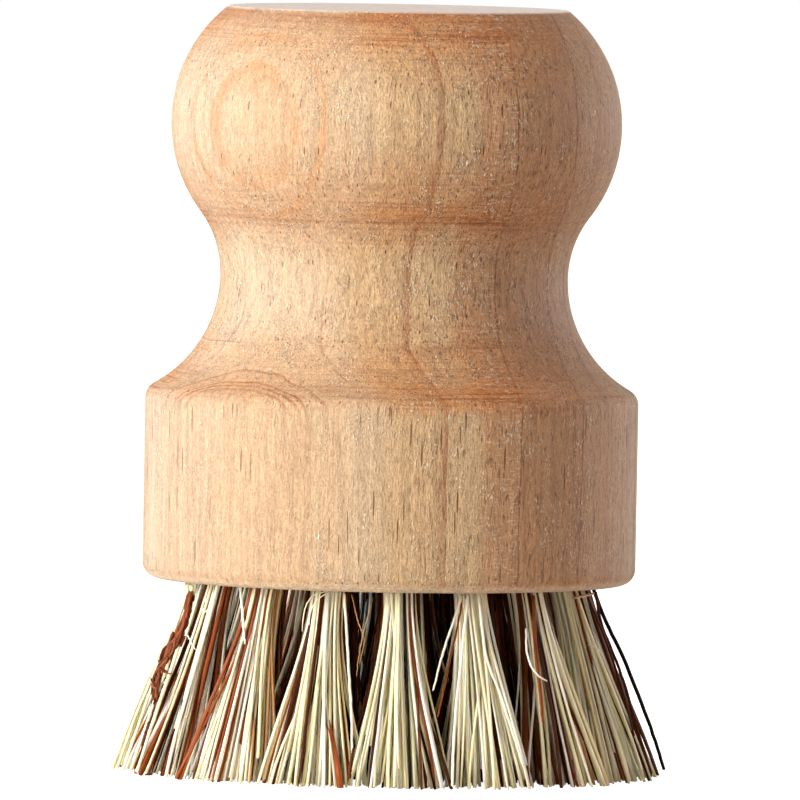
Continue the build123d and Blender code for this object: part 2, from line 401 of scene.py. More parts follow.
    # Marks put together: what comes out, and what is multiplied with it or added to it, in order
    part["lines"], part["tint"], part["tool_lines_and_painted_shade"] = part["front_lines"], part["across"], part["shoulder_tool"]
    for name, operation, others in (
        ("eye_lines", "MULTIPLY", ("upper", "eye_fade")),
        ("arch_lines", "MULTIPLY", ("lower", "shoulder")),
        ("lines", "ADD", ("arch_lines", "right_lines", "back_lines")),
        ("lines", "MULTIPLY", ("line_fade",)),
        ("tint", "MULTIPLY", ("patch", "grain_turn")),
        ("tool_lines_and_painted_shade", "MULTIPLY", ("tool_mask",)),
        ("neck_tool", "MULTIPLY", ("patch",)),
        ("cap_tool", "MULTIPLY", ("patch",)),
        # The tool layer also takes the neck's painted shade
        ("tool_lines_and_painted_shade", "ADD", ("neck_tool", "cap_tool", "painted_neck_shade")),
        ("tool_lines_and_painted_shade", "MULTIPLY", ("tool_reach",)),
        ("fine_marks", "MULTIPLY", ("tint",)),
        ("red_streak", "MULTIPLY", ("red_at",)),
        ("nicks", "MULTIPLY", ("nick_patch", "nick_at")),
        ("nick_relief", "MULTIPLY", ("nick_patch", "nick_at")),
        ("specks", "MULTIPLY", ("speck_at",)),
        ("large", "MULTIPLY", ("pore_at",)),
        ("thin", "MULTIPLY", ("pore_at",)),
        ("hatch", "MULTIPLY", ("hatch_at",)),
        ("mottle", "MULTIPLY", ("mottle_at",)),
    ):
        for other in others:
            pair = {0: part[name], 1: part[other]}
            part[name] = add_node(tree, "Math", pair, operation=operation, use_clamp=True)

    # Layers over the ground: where, how strong, and the colour
    shade = part["ground"]
    # Layers that paint light: the tool layer holds the neck's painted shade, the lower edge gets a painted
    # highlight and the flat end a painted reflection; the pale nicks are partly painted highlight
    for name, amount, tone in (
        ("lines", 0.95, look.ring), ("eye_lines", 0.9, look.end_grain), ("tint", 0.95, look.end_grain),
        ("tool_lines_and_painted_shade", 0.75, look.ring), ("fine_marks", 0.7, look.ring), ("red_streak", 0.5, look.ring),
        ("mottle", 0.2, look.ring), ("specks", 0.65, look.pore), ("nicks", 0.9, look.torn_grain_and_painted_highlight),
        ("hatch", 0.3, look.torn_grain_and_painted_highlight), ("large", 1.0, look.pore), ("thin", 0.9, look.pore),
        ("painted_edge_highlight", 0.34, look.torn_grain_and_painted_highlight), ("burnished_painted_reflection", 0.55, look.burnished_painted_reflection),
    ):
        share = add_node(tree, "Math", {0: part[name], 1: amount}, operation="MULTIPLY")
        shade = add_node(tree, "Mix", {0: share, 6: shade, 7: (*tone, 1)}, data_type="RGBA")
    for name in ("streaks", "fine", "nap", "marks"):
        pair = {0: 1.0, 6: shade, 7: part[name]}
        shade = add_node(tree, "Mix", pair, data_type="RGBA", blend_type="MULTIPLY")
    tree.links.new(shade.outputs[2], shader.inputs["Base Color"])

    # Relief: raised nicks and nap, sunk pores and tool lines, and the neck's painted shade sunk a little with
    # them
    relief = part["marks"]
    for name, amount in (
        ("nap", 0.7), ("fine", 0.6), ("nick_relief", 1.4), ("specks", -0.6), ("large", -1.3), ("thin", -0.8),
        ("tool_lines_and_painted_shade", -0.6),
    ):
        step = add_node(tree, "Math", {0: part[name], 1: amount}, operation="MULTIPLY")
        relief = add_node(tree, "Math", {0: relief, 1: step}, operation="ADD")
    bump = add_node(tree, "Bump", {"Height": relief, "Distance": 0.00016, "Strength": 1.0})
    tree.links.new(bump.outputs[0], shader.inputs["Normal"])
    # The flat end of the knob is burnished end grain, glossier than the rest; its paler colour is a painted
    # reflection of the white surroundings
    rough = add_node(tree, "MapRange", {0: part["burnished_painted_reflection"], 1: 0, 2: 1, 3: 0.62, 4: 0.28})
    tree.links.new(rough.outputs[0], shader.inputs["Roughness"])
    gloss = add_node(tree, "MapRange", {0: part["burnished_painted_reflection"], 1: 0, 2: 1, 3: 0.35, 4: 0.85})
    tree.links.new(gloss.outputs[0], shader.inputs["Specular IOR Level"])
    return material


def union_fibre():
    """Mixed plant fibre, cut and combed: each fibre has its own colour, with fine lengthwise lines and a soft
    waxy gloss. The lines are a few to each face of a fibre, fewer than in life, so that they show."""
    material, tree, shader = new_material("union_fibre_mix")
    own = add_node(tree, "Attribute", attribute_name="fibre_colour")
    run = add_node(tree, "Attribute", attribute_name="fibre_run")
    lines_at = add_node(tree, "Mapping", {"Vector": run.outputs["Vector"], "Scale": (3.6, 3.6, 0.16)})
    lines = add_node(tree, "TexNoise", {"Vector": lines_at, "Scale": 1.0, "Detail": 2.0})
    blotch_at = add_node(tree, "Mapping", {"Vector": run.outputs["Vector"], "Scale": (0.3, 0.3, 0.5)})
    blotch = add_node(tree, "TexNoise", {"Vector": blotch_at, "Scale": 1.0, "Detail": 1.0})
    # Dark leaf fibre is ribbed more deeply than the pale kinds
    brightness = add_node(tree, "RGBToBW", {0: own.outputs["Color"]})
    furrow = add_node(tree, "MapRange", {0: brightness, 1: 0.02, 2: 0.5, 3: 0.5, 4: 0.84})
    crest = add_node(tree, "MapRange", {0: brightness, 1: 0.02, 2: 0.5, 3: 1.6, 4: 1.14})
    line_gain = add_node(tree, "MapRange", {0: lines, 1: 0.3, 2: 0.7, 3: furrow, 4: crest})
    blotch_gain = add_node(tree, "MapRange", {0: blotch, 1: 0.3, 2: 0.7, 3: 0.92, 4: 1.08})
    shade = own.outputs["Color"]
    for gain in (line_gain, blotch_gain):
        shade = add_node(tree, "Mix", {0: 1.0, 6: shade, 7: gain}, data_type="RGBA", blend_type="MULTIPLY")
    tree.links.new(shade.outputs[2], shader.inputs["Base Color"])
    bump = add_node(tree, "Bump", {"Height": lines, "Distance": 0.00004, "Strength": 0.6})
    tree.links.new(bump.outputs[0], shader.inputs["Normal"])
    shader.inputs["Roughness"].default_value = 0.4
    # Pale fibre is glossier than dark fibre, and a little light passes through it
    gloss = add_node(tree, "MapRange", {0: brightness, 1: 0.05, 2: 0.5, 3: 0.05, 4: 0.8})
    tree.links.new(gloss.outputs[0], shader.inputs["Specular IOR Level"])
    shader.inputs["Subsurface Weight"].default_value = 0.6
    shader.inputs["Subsurface Radius"].default_value = (1.0, 0.8, 0.55)
    shader.inputs["Subsurface Scale"].default_value = 0.0004
    return material


def staple_wire():
    """Drawn steel wire, tinned: bright and smooth, with faint lengthwise drawing marks. Real marks are a few
    hundredths of a millimetre apart; these are 0.1 mm apart, or they wouldn't show."""
    material, tree, shader = new_material("tinned_steel_wire")
    place = add_node(tree, "TexCoord")
    drawn_at = add_node(tree, "Mapping", {"Vector": place.outputs["Object"], "Scale": (9000, 9000, 500)})
    drawn = add_node(tree, "TexNoise", {"Vector": drawn_at, "Scale": 1.0})
    rough = add_node(tree, "MapRange", {0: drawn, 1: 0.3, 2: 0.7, 3: 0.28, 4: 0.42})
    tree.links.new(rough.outputs[0], shader.inputs["Roughness"])
    shader.inputs["Base Color"].default_value = (*linear("#b9b7b3"), 1)
    shader.inputs["Metallic"].default_value = 1.0
    return material


def pale_floor():
    """White seamless paper: as white as the background to the camera, apart from the brush's soft shadow."""
    material = bpy.data.materials.new("white_seamless_paper")
    tree = emptied_tree(material)
    rays = add_node(tree, "LightPath")
    paper = add_node(tree, "BsdfDiffuse", {"Color": (*linear("#f4efe9"), 1)})
    glow = add_node(tree, "Emission", {"Color": (1, 1, 1, 1), "Strength": 0.94})
    shown = add_node(tree, "AddShader", {0: paper, 1: glow})
    either = add_node(tree, "MixShader", {0: rays.outputs["Is Camera Ray"], 1: paper, 2: shown})
    add_node(tree, "OutputMaterial", {"Surface": either})
    return material


# Shapes


# Columns of the turned handle round its axis, and the sharpest edge that is shaded smooth, in degrees
HANDLE_COLUMNS = 256
SHARP_DEGREES = 40
# Sides of a drill, and how far it starts below the wood
DRILL_SIDES = 28
DRILL_OVERRUN = 2 * MM


def arc(centre, level, radius, start, end, steps):
    """Points (radius from the axis, height) on a circle, at equal angles from start to end."""
    turn = np.linspace(start, end, steps)
    return np.stack([centre + radius * np.cos(turn), level + radius * np.sin(turn)], axis=1)


def straight(start, end, steps):
    """Points (radius from the axis, height) at equal steps from start to end."""
    return np.linspace(start, end, steps)


def turned_outline(size):
    """Half outline of the handle, from the middle of its underside round to the middle of its top:
    straight stretches and arcs, each arc tangent to the next. Each stretch ends with its count of points."""
    waist = size.underside + size.waist_height
    knob = waist + size.neck_rise
    edge = size.underside_edge_round
    lower_centre = size.waist_radius + size.lower_waist_round
    shoulder_centre = size.base_radius - size.shoulder_round
    reach = lower_centre - shoulder_centre
    drop = sqrt((size.lower_waist_round + size.shoulder_round) ** 2 - reach**2)
    shoulder_turn = atan2(drop, reach)
    knob_centre = size.knob_radius - size.knob_round
    neck_reach = size.waist_radius - knob_centre
    upper_round = neck_reach**2 + size.neck_rise**2 - size.knob_round**2
    upper_round /= 2 * (size.knob_round - neck_reach)
    upper_centre = size.waist_radius + upper_round
    neck_turn = atan2(size.neck_rise, upper_centre - knob_centre)
    # The broken top edge is a small arc inside the knob's arc and under the flat end
    small = size.top_edge_round
    edge_level = size.top - small
    edge_turn = asin((edge_level - knob) / (size.knob_round - small))
    edge_centre = knob_centre + (size.knob_round - small) * cos(edge_turn)
    return np.concatenate([
        straight((0.0, size.underside), (size.base_radius - edge, size.underside), 14),
        arc(size.base_radius - edge, size.underside + edge, edge, -pi / 2, 0, 9)[1:],
        straight((size.base_radius, size.underside + edge), (size.base_radius, waist - drop), 22)[1:-1],
        arc(shoulder_centre, waist - drop, size.shoulder_round, 0, shoulder_turn, 9),
        arc(lower_centre, waist, size.lower_waist_round, pi + shoulder_turn, pi, 30)[1:],
        arc(upper_centre, waist, upper_round, pi, pi - neck_turn, 18)[1:],
        arc(knob_centre, knob, size.knob_round, -neck_turn, edge_turn, 52)[1:],
        arc(edge_centre, edge_level, small, edge_turn, pi / 2, 7)[1:],
        straight((edge_centre, size.top), (0.0, size.top), 14)[1:],
    ])


def lathe(outline, columns):
    """Surface of revolution: each outline point (radius, height) is carried round the axis, and the two
    ends of the outline, on the axis, are single points."""
    turn = np.linspace(0, 2 * pi, columns, endpoint=False)
    radius, height = outline[1:-1, 0], outline[1:-1, 1]
    level = np.repeat(height[:, None], columns, axis=1)
    rings = np.stack([radius[:, None] * np.cos(turn), radius[:, None] * np.sin(turn), level], axis=2)
    points = np.concatenate([rings.reshape(-1, 3), [[0, 0, outline[0, 1]], [0, 0, outline[-1, 1]]]])
    rows = len(rings)
    here = np.arange(rows * columns).reshape(rows, columns)
    beside = np.roll(here, -1, axis=1)
    quads = np.stack([here[:-1], beside[:-1], beside[1:], here[1:]], axis=2).reshape(-1, 4)
    low = np.stack([beside[0], here[0], np.full(columns, rows * columns)], axis=1)
    high = np.stack([here[-1], beside[-1], np.full(columns, rows * columns + 1)], axis=1)
    return points, quads.tolist() + low.tolist() + high.tolist()


def tuft_places():
    """For each tuft node: middle of its tips, middle of its hole's mouth, and the hole's direction into the
    wood, all read from the CAD tuft: its lowest points, its points at the underside, its highest points."""
    places = {}
    for name in TUFT_NODES:
        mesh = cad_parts[name].data
        points = np.empty(len(mesh.vertices) * 3)
        mesh.vertices.foreach_get("co", points)
        points = np.unique(points.reshape(-1, 3).round(6), axis=0)
        tips = points[points[:, 2] < 0.2 * MM].mean(axis=0)
        mouth = points[np.abs(points[:, 2] - handle_low.z) < 0.02 * MM].mean(axis=0)
        deep = points[points[:, 2] > points[:, 2].max() - 1.5 * MM].mean(axis=0)
        places[name] = tips, mouth, (deep - mouth) / np.linalg.norm(deep - mouth)
    return places


# Sides of a fibre's section, and the step between the patterns of two fibres, so that no two look the same
FIBRE_SIDES = 5
PATTERN_STEP = 7.3


def fibre_piece(name, paths, widths, depths, twists, slants, colours, material):
    """Fibres as one mesh. Each is an ellipse of half width and half depth carried along its path: a
    section's corners are path + width cos(a) N + depth sin(a) B, with N and B square to the path and turned
    by the twist. The arrays are (fibres, stations), and slants lean the cut at both ends. Nothing dips under
    the plane that the brush stands on."""
    count, stations = paths.shape[:2]
    along = np.gradient(paths, axis=1)
    along /= np.linalg.norm(along, axis=2, keepdims=True)
    chord = paths[:, -1] - paths[:, 0]
    side = np.cross(chord, (0.0, 0.0, 1.0)) + 1e-9
    side = np.where(np.linalg.norm(side, axis=1, keepdims=True) < 1e-4, (1.0, 0.0, 0.0), side)
    across = side[:, None] - (side[:, None] * along).sum(axis=2, keepdims=True) * along
    across /= np.linalg.norm(across, axis=2, keepdims=True)
    third = np.cross(along, across)
    cos_twist, sin_twist = np.cos(twists)[..., None], np.sin(twists)[..., None]
    normal = cos_twist * across + sin_twist * third
    binormal = cos_twist * third - sin_twist * across
    turn = np.linspace(0, 2 * pi, FIBRE_SIDES, endpoint=False)
    ring = (
        widths[..., None, None] * np.cos(turn)[:, None] * normal[:, :, None]
        + depths[..., None, None] * np.sin(turn)[:, None] * binormal[:, :, None]
    )
    lean = slants[:, None] * widths[:, 0, None] * np.cos(turn)
    for end in (0, -1):
        ring[:, end] += lean[..., None] * along[:, end, None]
    points = (paths[:, :, None] + ring).reshape(-1, 3)
    points[:, 2] = np.maximum(points[:, 2], 0.0)
    index = np.arange(len(points)).reshape(count, stations, FIBRE_SIDES)
    beside = np.roll(index, -1, axis=2)
    quads = np.stack([index[:, :-1], beside[:, :-1], beside[:, 1:], index[:, 1:]], axis=3).reshape(-1, 4)
    faces = quads.tolist() + index[:, 0, ::-1].tolist() + index[:, -1].tolist()
    piece = mesh_object(name, points, faces, material)
    shade = piece.data.attributes.new("fibre_colour", "FLOAT_COLOR", "POINT")
    tints = np.ones((count, stations, FIBRE_SIDES, 4), np.float32)
    tints[..., :3] = colours[:, None, None]
    shade.data.foreach_set("color", tints.ravel())
    # Place on the fibre: round it, from fibre to fibre, and along it in millimetres
    steps = np.linalg.norm(np.diff(paths, axis=1), axis=2)
    far = np.concatenate([np.zeros((count, 1)), np.cumsum(steps, axis=1)], axis=1) / MM
    run = np.empty((count, stations, FIBRE_SIDES, 3), np.float32)
    run[..., 0] = np.cos(turn) + PATTERN_STEP * np.arange(count)[:, None, None]
    run[..., 1] = np.sin(turn) + paths[:, :1, :1] / MM
    run[..., 2] = far[..., None]
    spots = piece.data.attributes.new("fibre_run", "FLOAT_VECTOR", "POINT")
    spots.data.foreach_set("vector", run.ravel())
    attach(piece, "root")
    return piece


# Kinds of fibre, in the order of the palette; the shares and the widths below leave out the last
CREAM, WHITE, BROWN, BARK, BLACK, TAN, HUSK = range(7)
# Folded fibres in a tuft as a share of the usual count, then the shares of the six kinds
COMMON_MIX = (1.0, (0.42, 0.30, 0.10, 0.11, 0.03, 0.04))
INNER_MIX = (1.08, (0.18, 0.10, 0.14, 0.38, 0.15, 0.05))
TUFT_MIXES = {
    "tuft_outer_09": (0.95, (0.46, 0.44, 0.03, 0.05, 0.01, 0.01)),
    "tuft_outer_10": (0.90, (0.26, 0.30, 0.28, 0.10, 0.02, 0.04)),
    "tuft_outer_11": (1.00, (0.50, 0.26, 0.12, 0.07, 0.01, 0.04)),
    "tuft_outer_12": (1.05, (0.58, 0.20, 0.10, 0.09, 0.01, 0.02)),
    "tuft_outer_13": (1.10, (0.64, 0.22, 0.06, 0.05, 0.01, 0.02)),
    "tuft_outer_14": (0.72, (0.36, 0.46, 0.05, 0.10, 0.02, 0.01)),
    "tuft_outer_15": (0.85, (0.50, 0.28, 0.06, 0.12, 0.01, 0.03)),
    "tuft_outer_16": (0.90, (0.52, 0.26, 0.05, 0.12, 0.02, 0.03)),
    "tuft_outer_01": (0.95, (0.46, 0.24, 0.06, 0.16, 0.05, 0.03)),
}
# Half width and half depth of the six kinds, least and most, in millimetres
KIND_WIDTHS = ((0.19, 0.31), (0.15, 0.25), (0.20, 0.48), (0.20, 0.46), (0.16, 0.28), (0.16, 0.30))
KIND_DEPTHS = ((0.14, 0.22), (0.11, 0.18), (0.12, 0.22), (0.12, 0.22), (0.14, 0.24), (0.13, 0.20))
# How much their tone varies: leaf fibre varies more than the pale kinds
KIND_TONES = (0.13, 0.13, 0.4, 0.4, 0.2, 0.3)
# Middles of the roots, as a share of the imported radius, and their scatter
ROOT_FILL, ROOT_SCATTER = 0.92, 0.04
# Spread and scatter of the tips, as shares of the fan's reach
TIP_SPREAD, TIP_SCATTER = (0.82, 1.08), 0.13
# Share of the fibres that end anywhere in the fan, in the outer tufts and in the others, and their reach
OUTER_WANDERERS, INNER_WANDERERS, WANDER_REACH = 0.12, 0.3, 1.05
# How far from the brush's axis and how high a tip may stand
SWEEP_RADIUS, TALLEST_TIP = 33.3 * MM, 1.1 * MM
# Shares of an end's length at which its curve is held: at the wood, along the hole, and at the tip
HOLE_HOLD, TIP_HOLD = (0.2, 0.42), 0.33
# Typical sideways bow of an end
BOW = 0.35 * MM
# Share of the ends that have broken off, and how much of their length is lost
BROKEN_SHARE, BROKEN_LOSS = 0.08, (0.05, 0.28)
# Stations along an end and round the fold, and the greatest rise of the fold over its ends
END_STATIONS, FOLD_STATIONS, FOLD_RISE = 10, 5, 0.7 * MM
# How much thinner a fibre is pressed in the hole, and how much it swells along its run
ROOT_SQUEEZE, SWELL = 0.3, 0.14


def fibre_palette(look):
    """Colours of the kinds of fibre, one to a row."""
    kinds = (look.cream, look.white, look.brown, look.bark, look.black, look.tan, look.husk)
    return np.array([tuple(kind) for kind in kinds])


def curve_through(line, stations):
    """Catmull-Rom curve through points in millimetres, sampled at equal steps of its parameter."""
    points = np.array(line, float) * MM
    ends = np.concatenate([2 * points[:1] - points[1:2], points, 2 * points[-1:] - points[-2:-1]])
    at = np.linspace(0, len(points) - 1, stations)
    span = np.minimum(at.astype(int), len(points) - 2)
    step = (at - span)[:, None]
    before, here, there, after = (ends[span + number] for number in range(4))
    return 0.5 * (
        2 * here + (there - before) * step + (2 * before - 5 * here + 4 * there - after) * step**2
        + (3 * here - before - 3 * there + after) * step**3
    )


# Stations along a stray, their seed after the tufts', and how unevenly they run
STRAY_STATIONS, STRAY_SEED, STRAY_JITTER = 26, 900, 0.02 * MM
# Strips of bark among the strays, the wrinkled strands on each, and how far across it they swing
BARK_STRIPS, BARK_STRANDS, STRAND_SWING = (0, 1), (BROWN, HUSK, BARK, BROWN, HUSK, BROWN, HUSK), 0.7
# Strays: kind, half width, half depth, raggedness, taper, and points along the fibre, in millimetres
STRAYS = (
    # Ragged strip of bark on the left, its barbs and the dark thread that hangs from it
    (HUSK, 0.95, 0.16, 0.35, 0.3, (
        (-23.8, -9.4, 21.9), (-24.5, -10.5, 18.9), (-25.3, -11.2, 16.5), (-26.3, -10.9, 14.5))),
    (HUSK, 1.55, 0.18, 0.35, 0.8, (
        (-25.2, -11.0, 16.6), (-26.5, -10.2, 14.5), (-27.3, -10.2, 12.5), (-27.7, -11.0, 10.6),
        (-27.8, -12.6, 8.9))),
    (HUSK, 0.42, 0.12, 0.30, 0.9, ((-27.5, -10.8, 12.9), (-26.7, -12.3, 12.4), (-26.0, -13.4, 12.3))),
    (HUSK, 0.30, 0.12, 0.30, 0.9, ((-27.7, -10.5, 10.9), (-28.3, -9.6, 11.1), (-28.7, -9.0, 11.6))),
    (BARK, 0.11, 0.10, 0.20, 0.5, (
        (-27.8, -12.3, 9.1), (-28.7, -13.1, 6.0), (-29.6, -13.9, 3.0), (-30.4, -14.5, 0.5))),
    (BARK, 0.22, 0.12, 0.30, 0.8, ((-28.7, -12.9, 6.4), (-29.3, -13.3, 4.2), (-29.6, -13.9, 2.6))),
    # Thick black and dark brown fibres on the right
    (BLACK, 0.34, 0.26, 0.04, 0.2, (
        (24.9, -3.3, 22.9), (26.5, -1.3, 18.9), (28.6, -1.3, 14.8), (31.0, -1.3, 9.1), (32.8, -1.3, 4.4),
        (33.9, -1.3, 1.0))),
    (BARK, 0.25, 0.20, 0.06, 0.2, (
        (25.2, -5.5, 22.6), (25.9, -4.5, 19.0), (27.3, -4.0, 15.6), (28.8, -3.8, 11.8), (30.3, -5.8, 7.0),
        (32.3, -7.4, 0.9))),
    (BARK, 0.20, 0.16, 0.06, 0.2, (
        (24.0, -7.1, 22.9), (24.4, -6.8, 21.8), (26.5, -5.5, 16.9), (28.6, -6.9, 11.0), (30.1, -9.1, 5.6))),
    # Chip of brown leaf under the wood, and short loose pieces
    (TAN, 0.36, 0.14, 0.20, 0.2, (
        (22.4, -11.8, 22.3), (23.5, -9.6, 22.4), (24.5, -6.4, 22.5), (25.2, -3.2, 22.5))),
    (BROWN, 0.25, 0.14, 0.12, 0.3, (
        (17.5, -18.9, 22.9), (17.9, -21.2, 16.4), (18.5, -23.1, 11.7), (18.9, -24.5, 7.9))),
    (WHITE, 0.17, 0.15, 0.03, 0.3, (
        (-17.9, -16.9, 23.2), (-17.8, -17.2, 22.3), (-17.6, -18.2, 20.4), (-17.4, -19.5, 18.3),
        (-17.2, -20.6, 16.5))),
    # Long white fibres that cross in front of the gaps
    (WHITE, 0.17, 0.16, 0.03, 0.2, (
        (-5.3, -24.9, 23.0), (-5.0, -26.4, 19.3), (-4.6, -28.5, 14.0), (-4.2, -30.4, 9.3),
        (-4.0, -32.2, 4.2))),
    (BARK, 0.24, 0.16, 0.10, 0.2, ((-3.9, -32.0, 4.8), (-4.1, -32.6, 3.2), (-4.3, -33.1, 1.2))),
    (WHITE, 0.16, 0.15, 0.03, 0.3, (
        (8.9, -22.7, 22.9), (7.7, -24.6, 19.3), (6.6, -26.4, 15.9), (5.6, -28.3, 11.8))),
    (BROWN, 0.14, 0.13, 0.05, 0.3, (
        (8.9, -22.6, 22.9), (8.6, -23.5, 20.3), (7.8, -25.3, 16.5), (7.0, -27.1, 12.5), (6.2, -28.9, 8.6))),
    (WHITE, 0.19, 0.17, 0.03, 0.2, (
        (10.9, -23.4, 23.0), (11.9, -25.2, 15.9), (13.4, -26.5, 12.0), (15.0, -27.8, 7.6),
        (16.7, -29.2, 2.6))),
    (WHITE, 0.20, 0.18, 0.03, 0.1, (
        (9.6, -23.5, 23.0), (9.3, -25.0, 19.5), (9.0, -26.4, 16.5), (8.3, -30.0, 8.3), (8.1, -32.9, 0.5))),
    # Fibres of the inner rings that lean between the tufts on the right of the middle
    (BARK, 0.40, 0.16, 0.08, 0.1, ((11.0, -13.5, 23.6), (11.5, -15.0, 16.0), (12.6, -18.0, 0.6))),
    (BROWN, 0.34, 0.16, 0.08, 0.1, ((11.7, -13.0, 23.6), (12.3, -15.0, 16.0), (13.4, -19.0, 0.5))),
    (BARK, 0.36, 0.16, 0.08, 0.1, ((12.3, -12.0, 23.6), (12.9, -13.5, 15.0), (14.4, -17.0, 0.5))),
    (TAN, 0.26, 0.16, 0.08, 0.1, ((10.6, -14.0, 23.6), (11.0, -16.0, 15.0), (11.8, -19.0, 0.7))),
    # Curled wisps
    (WHITE, 0.14, 0.13, 0.03, 0.3, (
        (16.7, -20.9, 19.0), (16.8, -22.4, 16.5), (17.3, -23.2, 14.7), (18.2, -23.4, 13.5),
        (19.3, -23.0, 12.8))),
    (CREAM, 0.09, 0.08, 0.05, 0.4, (
        (-7.6, -24.1, 23.2), (-9.1, -23.9, 22.6), (-9.9, -24.0, 21.4), (-10.2, -24.4, 20.0),
        (-10.3, -25.2, 18.4))),
    (CREAM, 0.08, 0.08, 0.05, 0.4, (
        (-7.3, -24.2, 23.1), (-8.7, -24.2, 22.0), (-9.3, -24.6, 20.7), (-9.5, -25.0, 19.2))),
    (WHITE, 0.09, 0.08, 0.05, 0.4, (
        (-21.7, -13.4, 21.8), (-22.5, -13.0, 20.6), (-22.1, -14.1, 19.9), (-21.4, -14.6, 20.9),
        (-20.8, -14.8, 22.3))),
    (WHITE, 0.10, 0.08, 0.05, 0.4, ((-24.2, -12.9, 17.0), (-23.7, -14.3, 16.1), (-23.2, -15.4, 15.4))),
    (TAN, 0.06, 0.06, 0.05, 0.4, (
        (-4.4, -22.7, 22.8), (-3.6, -23.8, 19.6), (-2.8, -24.7, 17.5), (-3.3, -25.7, 14.9))),
    (TAN, 0.06, 0.06, 0.05, 0.4, ((-1.9, -23.3, 22.4), (-3.1, -24.7, 17.5), (-3.7, -26.3, 13.2))),
    (CREAM, 0.08, 0.08, 0.05, 0.4, ((24.3, -12.6, 16.7), (25.3, -11.4, 16.3), (26.0, -10.6, 15.4))),
    # Pale fibres along the left edge
    (CREAM, 0.26, 0.20, 0.03, 0.1, (
        (-24.3, -7.4, 22.9), (-24.6, -7.2, 21.2), (-26.7, -8.8, 14.9), (-29.2, -9.4, 8.2),
        (-31.7, -10.8, 0.5))),
    (CREAM, 0.28, 0.20, 0.03, 0.1, (
        (-24.5, -6.8, 22.9), (-24.8, -6.5, 20.9), (-27.2, -7.0, 14.6), (-30.0, -7.2, 7.7),
        (-32.5, -7.9, 0.4))),
    (CREAM, 0.24, 0.20, 0.03, 0.1, (
        (-24.6, -6.2, 22.9), (-25.0, -6.3, 20.4), (-27.7, -6.0, 14.1), (-30.3, -5.2, 8.0),
        (-33.0, -4.9, 0.6))),
    (CREAM, 0.26, 0.20, 0.03, 0.1, (
        (-24.0, -8.8, 22.9), (-24.2, -8.8, 21.0), (-26.2, -10.9, 14.4), (-28.5, -12.3, 7.6),
        (-30.8, -13.3, 0.5))),
    (CREAM, 0.26, 0.20, 0.03, 0.1, (
        (-23.8, -9.6, 22.9), (-24.0, -9.8, 20.6), (-25.8, -12.3, 13.9), (-28.0, -13.8, 7.2),
        (-30.0, -15.1, 0.4))),
)


